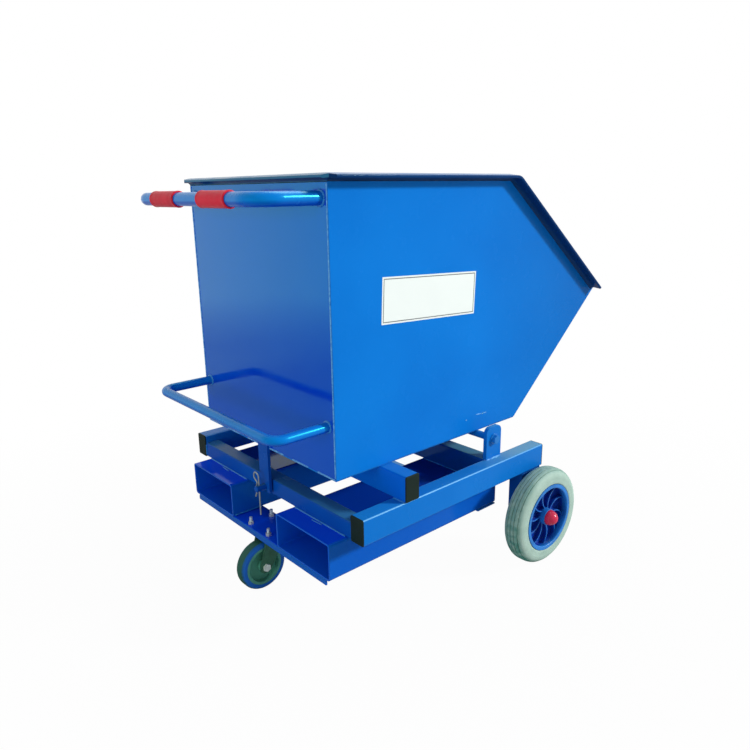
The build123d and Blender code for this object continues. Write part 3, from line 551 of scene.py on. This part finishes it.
finishes = {
    "blue_paint": frame_paint,
    "zinc_steel": zinc_plate,
    "black_plastic": black_plastic,
    "red_plastic": red_plastic,
    "grey_tyre": tyre_rubber,
    "blue_plastic": rim_plastic,
    "grey_plastic": bush_plastic,
    "white_label": label_white,
}
special = {
    "hub_caps": hub_red,
    "caster_tyre": caster_rubber,
    "caster_wheel_core": core_plastic,
    "caster_fork": zinc_fork,
    "caster_bolts": bolt_zinc,
    "rear_panel": rear_paint,
    "side_panel_left": panel_paint,
    "side_panel_right": panel_paint,
    "chute_panel": panel_paint,
    "floor_panel": panel_paint,
    "side_rim_left": rim_paint,
    "side_rim_right": rim_paint,
    "rear_rim": rear_rim_paint,
    "axle_leg_left": leg_paint,
    "axle_leg_right": leg_paint,
    "push_handle": tube_paint,
    "tipping_loop": tube_paint,
    "fork_pocket_left": pocket_paint,
    "fork_pocket_right": pocket_paint,
    "caster_channel": pocket_paint,
    "rest_crosstube": crosstube_paint,
    "front_crossbeam": front_cross_paint,
    "caster_axle_bolt": zinc_axle,
    "rear_crossbeam": shaded_paint,
    "latch_bar": shaded_paint,
    "latch_stud": shaded_paint,
    "r_clip": zinc_wire,
    "pivot_bolts": weld_paint,
    "pivot_washers": weld_paint,
}
for part in frame["record"]["subparts"]:
    node = nodes[part["node"]]
    node.data.materials.clear()
    node.data.materials.append(special.get(part["node"], finishes[part["material_slot"]]))


# Pieces that the solids leave out
def piece(name, body, finish, vertices, faces):
    """A smooth mesh object that rides on a body."""
    mesh = bpy.data.meshes.new(name)
    mesh.from_pydata(vertices, [], faces)
    mesh.shade_smooth()
    mesh.materials.append(finish)
    made = bpy.data.objects.new(name, mesh)
    bpy.context.scene.collection.objects.link(made)
    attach(made, body)
    return made


# Shape of a weld bead, as shares of its radius or of one ripple
BEAD_SIDES = 8
BEAD_STEP = 0.45
RIPPLE_STEP = 0.33
RIPPLE_SHARE = 0.2
BEAD_JITTER = 0.05
END_SHARE = 0.35
END_POINTS = 3.0
OFF_AXIS = Vector((0.31, 0.52, 0.79))      # lies along no bead, so it gives each one a side


def resample(points, step):
    """Points at an even step along a run of straight lines."""
    spaced = [points[0]]
    for start, end in zip(points, points[1:]):
        count = max(1, round((end - start).length / step))
        spaced += [start.lerp(end, k / count) for k in range(1, count + 1)]
    return spaced


def add_bead(vertices, faces, points, radius, chance):
    """Adds one rippled weld bead along a line of points."""
    spine = resample([Vector(p) for p in points], BEAD_STEP * radius)
    count = len(spine)
    first = len(vertices)
    phase = chance.uniform(0.0, 1.0)
    for k, middle in enumerate(spine):
        ahead = spine[min(k + 1, count - 1)] - spine[max(k - 1, 0)]
        ahead.normalize()
        side = ahead.cross(OFF_AXIS).normalized()
        over = ahead.cross(side)
        ripple = (RIPPLE_STEP * k + phase) % 1.0
        swell = 1.0 + RIPPLE_SHARE * (ripple - 0.5) * 2 + chance.uniform(-BEAD_JITTER, BEAD_JITTER)
        from_end = min(k, count - 1 - k) / END_POINTS
        swell *= min(1.0, END_SHARE + (1.0 - END_SHARE) * from_end)
        for s in range(BEAD_SIDES):
            turn = 2 * math.pi * s / BEAD_SIDES
            vertices.append(middle + radius * swell * (math.cos(turn) * side + math.sin(turn) * over))
    for k in range(count - 1):
        for s in range(BEAD_SIDES):
            here = first + k * BEAD_SIDES
            near, far = here + s, here + (s + 1) % BEAD_SIDES
            faces.append((near, far, far + BEAD_SIDES, near + BEAD_SIDES))
    faces.append(tuple(first + s for s in reversed(range(BEAD_SIDES))))
    faces.append(tuple(first + (count - 1) * BEAD_SIDES + s for s in range(BEAD_SIDES)))


def welds(name, body, radius, lines, seed, finish=weld_paint):
    """One object holding the weld beads of one kind of joint."""
    chance = random.Random(seed)
    vertices, faces = [], []
    for line in lines:
        add_bead(vertices, faces, line, radius, chance)
    return piece(name, body, finish, vertices, faces)


def both_sides(lines):
    """Lines given for one side, and their mirror images."""
    return lines + [[(x, -y, z) for x, y, z in line] for line in lines]


def stitched(start, end, length, pitch):
    """Short runs of weld along a straight seam."""
    start, end = Vector(start), Vector(end)
    whole = (end - start).length
    ahead = (end - start) / whole
    count = max(1, int((whole - length) / pitch) + 1)
    margin = (whole - (count - 1) * pitch - length) / 2
    runs = []
    for k in range(count):
        begin = start + ahead * (margin + k * pitch)
        runs.append([tuple(begin), tuple(begin + ahead * length)])
    return runs


def ring(middle, radius, parts=48):
    """A circle about an axis along X, a little over one turn."""
    x, y, z = middle
    turns = [2 * math.pi * k / parts for k in range(parts + 2)]
    return [(x, y + radius * math.cos(t), z + radius * math.sin(t)) for t in turns]


back = rear_low.x
seam_y = rear_high.y
base_z = rear_low.z
welds("corner_seam_welds", "hopper", 1.8 * MM, both_sides([
    [(back, seam_y, base_z + 4 * MM), (back, seam_y, rear_high.z - 12 * MM)],
]), seed=11, finish=seam_paint)
rear_seam = ((back, -seam_y, base_z), (back, seam_y, base_z))
welds("rear_bottom_welds", "hopper", 2.2 * MM, stitched(*rear_seam, 62 * MM, 96 * MM),
      seed=12, finish=seam_paint)
side_seam = ((back + 30 * MM, floor_high.y, base_z), (chute_low.x - 30 * MM, floor_high.y, base_z))
welds("side_bottom_welds", "hopper", 1.2 * MM, both_sides(stitched(*side_seam, 40 * MM, 150 * MM)), seed=13)
chute_foot = Vector((floor_high.x, chute_high.y, base_z))
chute_lip = Vector((chute_high.x, chute_high.y, chute_high.z))
welds("chute_seam_welds", "hopper", 1.8 * MM, both_sides([
    [tuple(chute_foot.lerp(chute_lip, 0.01)), tuple(chute_foot.lerp(chute_lip, 0.97))],
]), seed=14)
inside_y = chute_high.y
inside_back = rear_high.x
welds("inside_welds", "hopper", 2.6 * MM, both_sides([
    [(inside_back, inside_y, base_z), (inside_back, inside_y, rear_high.z - 4 * MM)],
    [(inside_back, inside_y, base_z), (floor_high.x - 4 * MM, inside_y, base_z)],
]) + [
    [(inside_back, -inside_y, base_z), (inside_back, inside_y, base_z)],
    [(floor_high.x - 4.5 * MM, -inside_y, base_z), (floor_high.x - 4.5 * MM, inside_y, base_z)],
], seed=15)
handle_radius = (handle_high.z - handle_low.z) / 2
handle_arm = handle_high.y - handle_radius
handle_z = (handle_low.z + handle_high.z) / 2
loop_radius = (loop_high.z - loop_low.z) / 2
loop_arm = loop_high.y - loop_radius
loop_z = (loop_low.z + loop_high.z) / 2
welds("handle_end_welds", "hopper", 3.4 * MM, both_sides([
    ring((back, handle_arm, handle_z), handle_radius),
]), seed=16)
welds("loop_end_welds", "hopper", 3.2 * MM, both_sides([
    ring((back, loop_arm, loop_z), loop_radius),
]), seed=17)
welds("latch_bar_welds", "hopper", 2.4 * MM, both_sides([
    [(back, latch_high.y, base_z + 1 * MM), (back, latch_high.y, latch_high.z - 3 * MM)],
]) + [[(back, -0.8 * latch_high.y, latch_high.z), (back, 0.8 * latch_high.y, latch_high.z)]], seed=18)
tube_x = (tube_low.x + tube_high.x) / 2
tube_reach = 6.2 * MM
tube_weld_z = floor_low.z - 1 * MM
welds("pivot_tube_welds", "hopper", 2.6 * MM, both_sides([
    run
    for x in (tube_x - tube_reach, tube_x + tube_reach)
    for run in stitched((x, 0.02, tube_weld_z), (x, 0.265, tube_weld_z), 50 * MM, 90 * MM)
]), seed=19)
mark_y = -side_low.y
welds("side_weld_marks", "hopper", 1.5 * MM, both_sides([
    [(back + 0.447, mark_y, base_z + 0.041), (back + 0.488, mark_y, base_z + 0.0385)],
    [(back + 0.408, mark_y, base_z + 0.035), (back + 0.414, mark_y, base_z + 0.035)],
]), seed=20, finish=seam_paint)

# Welds of the base
bracket_z = bracket_low.z
welds("bracket_welds", "chassis", 2.8 * MM, both_sides([
    [(bracket_low.x, bracket_high.y, bracket_z), (bracket_high.x, bracket_high.y, bracket_z)],
    [(bracket_low.x, bracket_low.y + 3 * MM, bracket_z), (bracket_low.x, bracket_high.y, bracket_z)],
    [(bracket_high.x, bracket_low.y + 3 * MM, bracket_z), (bracket_high.x, bracket_high.y, bracket_z)],
]), seed=21, finish=seam_paint)
rest_ends = (beam_low.y + 2 * MM, beam_high.y - 3 * MM)
welds("crosstube_welds", "chassis", 2.4 * MM, both_sides([
    [(x, rest_ends[0], rest_low.z), (x, rest_ends[1], rest_low.z)] for x in (rest_low.x, rest_high.x)
]), seed=22)
pocket_top = pocket_high.z
pocket_in, pocket_out = pocket_low.y, pocket_high.y
welds("crossbeam_welds", "chassis", 2.2 * MM, both_sides([
    [(x, pocket_in + 6 * MM, pocket_top), (x, pocket_out - 6 * MM, pocket_top)]
    for x in (rear_cross_low.x, rear_cross_high.x, front_cross_low.x, front_cross_high.x)
] + [
    [(x, beam_low.y, low.z + 4 * MM), (x, beam_low.y, high.z - 4 * MM)]
    for low, high in ((rear_cross_low, rear_cross_high), (front_cross_low, front_cross_high))
    for x in (low.x, high.x)
]), seed=23)
welds("leg_welds", "chassis", 2.4 * MM, both_sides([
    [(leg_low.x, leg_low.y + 4 * MM, leg_high.z), (leg_low.x, leg_high.y - 4 * MM, leg_high.z)],
    [(leg_high.x, leg_low.y + 4 * MM, leg_high.z), (leg_high.x, leg_high.y - 4 * MM, leg_high.z)],
    [(leg_low.x + 4 * MM, leg_low.y, leg_high.z), (leg_high.x - 4 * MM, leg_low.y, leg_high.z)],
]), seed=24)
under = pocket_low.z
foot = under + 4 * MM
channel_front = channel_high.x
welds("channel_welds", "chassis", 2.2 * MM, both_sides([
    [(channel_front, pocket_in + 6 * MM, under), (channel_front, channel_high.y - 2 * MM, under)],
    [(channel_low.x + 5 * MM, pocket_in, foot), (channel_front - 4 * MM, pocket_in, foot)],
    [(tie_low.x, pocket_in + 6 * MM, under), (tie_low.x, pocket_out - 6 * MM, under)],
    [(tie_low.x + 4 * MM, pocket_in, foot), (tie_high.x - 4 * MM, pocket_in, foot)],
]), seed=25)
stud_radius = (stud_high.z - stud_low.z) / 2
stud_z = (stud_low.z + stud_high.z) / 2
welds("stud_weld", "chassis", 1.6 * MM, [ring((stud_high.x, 0.0, stud_z), stud_radius)], seed=26)
welds("pocket_top_marks", "chassis", 1.4 * MM, both_sides([
    [(back - 4 * MM, 0.184, pocket_top), (back - 2 * MM, 0.219, pocket_top)],
]), seed=27)


def turned(name, body, replaced, finish, profile, x, z, parts=64):
    """A turned piece about an axis along Y, from (along, radius) pairs that close on themselves."""
    vertices, faces = [], []
    for k in range(parts):
        turn = 2 * math.pi * k / parts
        vertices += [(x + r * math.cos(turn), y, z + r * math.sin(turn)) for y, r in profile]
    count = len(profile)
    for k in range(parts):
        here, there = k * count, (k + 1) % parts * count
        for s in range(count):
            after = (s + 1) % count
            faces.append((here + s, here + after, there + after, there + s))
    made = piece(name, body, finish, vertices, faces)
    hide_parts(replaced)
    return made


def grip_profile(low, high):
    """Outline of a grip: soft collars at the ends, faint waves for the fingers between them."""
    bore = 14.05 * MM
    full = 17.45 * MM
    body = 16.9 * MM
    collar = 5.0 * MM
    steps = 60
    waves = 5
    wave_height = 0.04 * MM
    lip = [(0.0, full - 2.2 * MM), (0.6 * MM, full - 0.7 * MM), (1.8 * MM, full), (collar - 1.4 * MM, full),
           (collar, body + 0.25 * MM)]
    outline = [(low, bore)] + [(low + inward, radius) for inward, radius in lip]
    begin, end = low + collar + 1.2 * MM, high - collar - 1.2 * MM
    for k in range(steps + 1):
        along = k / steps
        wave = wave_height * math.cos(2 * math.pi * waves * along)
        outline.append((begin + (end - begin) * along, body + wave))
    outline += [(high - inward, radius) for inward, radius in reversed(lip)]
    return outline + [(high, bore)]


grip_x = (grip_low.x + grip_high.x) / 2
grip_z = (grip_low.z + grip_high.z) / 2
for side, low_y, high_y in (("right", grip_low.y, grip_high.y), ("left", -grip_high.y, -grip_low.y)):
    turned(f"ribbed_grip_{side}", "hopper", f"grip_{side}", red_plastic,
           grip_profile(low_y, high_y), grip_x, grip_z)


# Stage, lights and camera
FLOOR_SIZE = 60.0
FLOOR_DROP = 0.5 * MM
FLOOR_GREY = (0.6, 0.6, 0.6)
NEAR_WHITE = 0.97                 # share of white in the floor that is seen under the object
NEAR_FADE = (0.6, 1.7)            # distances between which the floor that is seen turns white
MIRROR_FADE = (3.0, 5.0)          # distances between which the floor that gloss shows turns white
ROOM_LIGHT = 0.36


def area_light(name, spot, target, size, power, in_gloss=True):
    """A soft rectangular lamp aimed at a point; gloss may leave the lamp itself out."""
    lamp = bpy.data.lights.new(name, "AREA")
    lamp.shape = "RECTANGLE"
    lamp.size, lamp.size_y = size
    lamp.energy = power
    holder = bpy.data.objects.new(name, lamp)
    holder.visible_glossy = in_gloss
    bpy.context.scene.collection.objects.link(holder)
    holder.location = spot
    holder.rotation_euler = (Vector(target) - Vector(spot)).to_track_quat("-Z", "Y").to_euler()
    return holder


def seen_directly(tree):
    """Two sockets: 1 for rays from the camera or through glass, and 1 for rays from gloss."""
    rays = tree.nodes.new("ShaderNodeLightPath").outputs
    clear = math_node(tree, "MAXIMUM", rays["Is Camera Ray"], rays["Is Transmission Ray"])
    return clear, rays["Is Glossy Ray"]


def white_world(level):
    """A pale room: plain white where it is seen, a lower level as light."""
    world = bpy.data.worlds.new("pale_room")
    bpy.context.scene.world = world
    world.use_nodes = True
    tree = world.node_tree
    backdrop = tree.nodes["Background"]
    backdrop.inputs["Color"].default_value = (1.0, 1.0, 1.0, 1.0)
    seen = math_node(tree, "MAXIMUM", *seen_directly(tree))
    tree.links.new(spread(tree, seen, 0.0, 1.0, level, 1.0), backdrop.inputs["Strength"])


def pale_floor():
    """A pale floor that keeps the object's shadow and fades into the white room.

    Gloss sees the floor's own shade near the object, and the same white room further out.
    """
    bpy.ops.mesh.primitive_plane_add(size=FLOOR_SIZE, location=(0.0, 0.0, -FLOOR_DROP))
    floor = bpy.context.object
    floor.name = "floor"
    made, tree, shader = material("pale_floor", FLOOR_GREY, roughness=0.9, Specular_IOR_Level=0.0)
    flat = place(tree, (1.0, 1.0, 0.0))
    length = tree.nodes.new("ShaderNodeVectorMath")
    length.operation = "LENGTH"
    tree.links.new(flat, length.inputs[0])
    away = length.outputs["Value"]
    clear, glossy = seen_directly(tree)
    plain = math_node(tree, "MULTIPLY", spread(tree, away, *NEAR_FADE, NEAR_WHITE, 1.0), clear)
    mirrored = math_node(tree, "MULTIPLY", spread(tree, away, *MIRROR_FADE), glossy)
    white = tree.nodes.new("ShaderNodeEmission")
    mix = tree.nodes.new("ShaderNodeMixShader")
    tree.links.new(math_node(tree, "MAXIMUM", plain, mirrored), mix.inputs[0])
    tree.links.new(shader.outputs[0], mix.inputs[1])
    tree.links.new(white.outputs[0], mix.inputs[2])
    tree.links.new(mix.outputs[0], tree.nodes["Material Output"].inputs["Surface"])
    floor.data.materials.append(made)


white_world(ROOM_LIGHT)
pale_floor()
area_light("key", spot=(12.7, -12.8, 9.35), target=(0.0, -0.1, 0.6), size=(2.4, 2.4), power=3657.0)
area_light("top", spot=(0.7, 0.25, 3.0), target=(-0.1, 0.0, 0.6), size=(1.5, 1.1), power=14.0)
area_light("rear_fill", spot=(-6.0, -1.0, 1.2), target=(-0.4, 0.0, 0.7), size=(2.0, 2.0), power=88.0,
           in_gloss=False)
area_light("left_fill", spot=(1.0, 6.0, 1.3), target=(0.0, 0.3, 0.6), size=(2.0, 2.0), power=70.0,
           in_gloss=False)

camera_data = bpy.data.cameras.new("photo_camera")
camera_data.sensor_width = SENSOR_MM
camera_data.lens = camera_data.sensor_width * FOCAL_PX / PICTURE_PX
camera = bpy.data.objects.new("photo_camera", camera_data)
bpy.context.scene.collection.objects.link(camera)
forward = Vector((math.sin(YAW) * math.cos(PITCH), math.cos(YAW) * math.cos(PITCH), -math.sin(PITCH)))
level_right = Vector((math.cos(YAW), -math.sin(YAW), 0.0))
level_up = level_right.cross(forward)
right = math.cos(ROLL) * level_right + math.sin(ROLL) * level_up
up = math.cos(ROLL) * level_up - math.sin(ROLL) * level_right
camera.matrix_world = Matrix.Translation(EYE) @ Matrix((right, up, -forward)).transposed().to_4x4()
bpy.context.scene.camera = camera
bpy.context.scene.view_settings.view_transform = "Standard"
